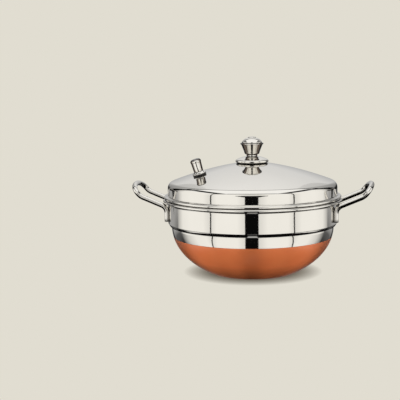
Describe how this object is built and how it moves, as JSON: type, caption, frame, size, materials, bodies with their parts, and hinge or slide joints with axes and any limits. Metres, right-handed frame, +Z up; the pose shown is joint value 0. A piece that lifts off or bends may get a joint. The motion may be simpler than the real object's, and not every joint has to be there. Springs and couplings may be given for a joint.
{
  "type": "steamer pot",
  "caption": "Round-bottomed steel steamer pot with a copper base, rod handles, a domed lid with a knob and steam vent, and a lift-out rack of cupped plates.",
  "frame": {"origin": "centre of the flat base, on the surface that the pot stands on", "axes": "+Z up along the pot's axis, X through the two handles"},
  "size_m": [0.3556, 0.2638, 0.2002],
  "materials": {
    "polished_steel": "mirror-polished stainless steel",
    "satin_steel": "satin stainless steel",
    "copper": "satin copper",
    "silicone": "matt black silicone rubber"
  },
  "bodies": {
    "kadai": {"kadai_bowl": "polished_steel", "base_disc": "copper", "copper_skin": "copper", "left_handle": "polished_steel", "right_handle": "polished_steel"},
    "rack": {"lower_idli_plate": "satin_steel", "lower_idli_cup_1": "satin_steel", "lower_idli_cup_2": "satin_steel", "lower_idli_cup_3": "satin_steel", "lower_idli_cup_4": "satin_steel", "lower_idli_cup_5": "satin_steel", "upper_idli_plate": "satin_steel", "upper_idli_cup_1": "satin_steel", "upper_idli_cup_2": "satin_steel", "upper_idli_cup_3": "satin_steel", "upper_idli_cup_4": "satin_steel", "upper_idli_cup_5": "satin_steel", "centre_rod": "satin_steel", "spacer_sleeve": "satin_steel", "rod_washer": "satin_steel", "rod_nut": "satin_steel", "top_washer": "satin_steel", "lifting_eye": "polished_steel"},
    "lid": {"lid_shell": "polished_steel", "knob_base": "polished_steel", "knob_cup": "polished_steel", "knob_cap": "polished_steel", "knob_screw": "satin_steel", "knob_washer": "satin_steel", "knob_nut": "satin_steel", "vent_gasket": "silicone", "vent_seat": "polished_steel", "vent_washer": "satin_steel", "vent_nut": "satin_steel"},
    "whistle": {"whistle_cap": "polished_steel"}
  },
  "joints": [
    {"name": "rack_lift", "type": "slide", "parent": "kadai", "child": "rack", "axis": [0, 0, 1], "range_m": [0, 0.12]},
    {"name": "lid_lift", "type": "slide", "parent": "rack", "child": "lid", "axis": [0, 0, 1], "range_m": [0, 0.12]},
    {"name": "whistle_lift", "type": "slide", "parent": "lid", "child": "whistle", "axis": [-0.2561, -0.1305, 0.9578], "range_m": [0, 0.022]}
  ]
}
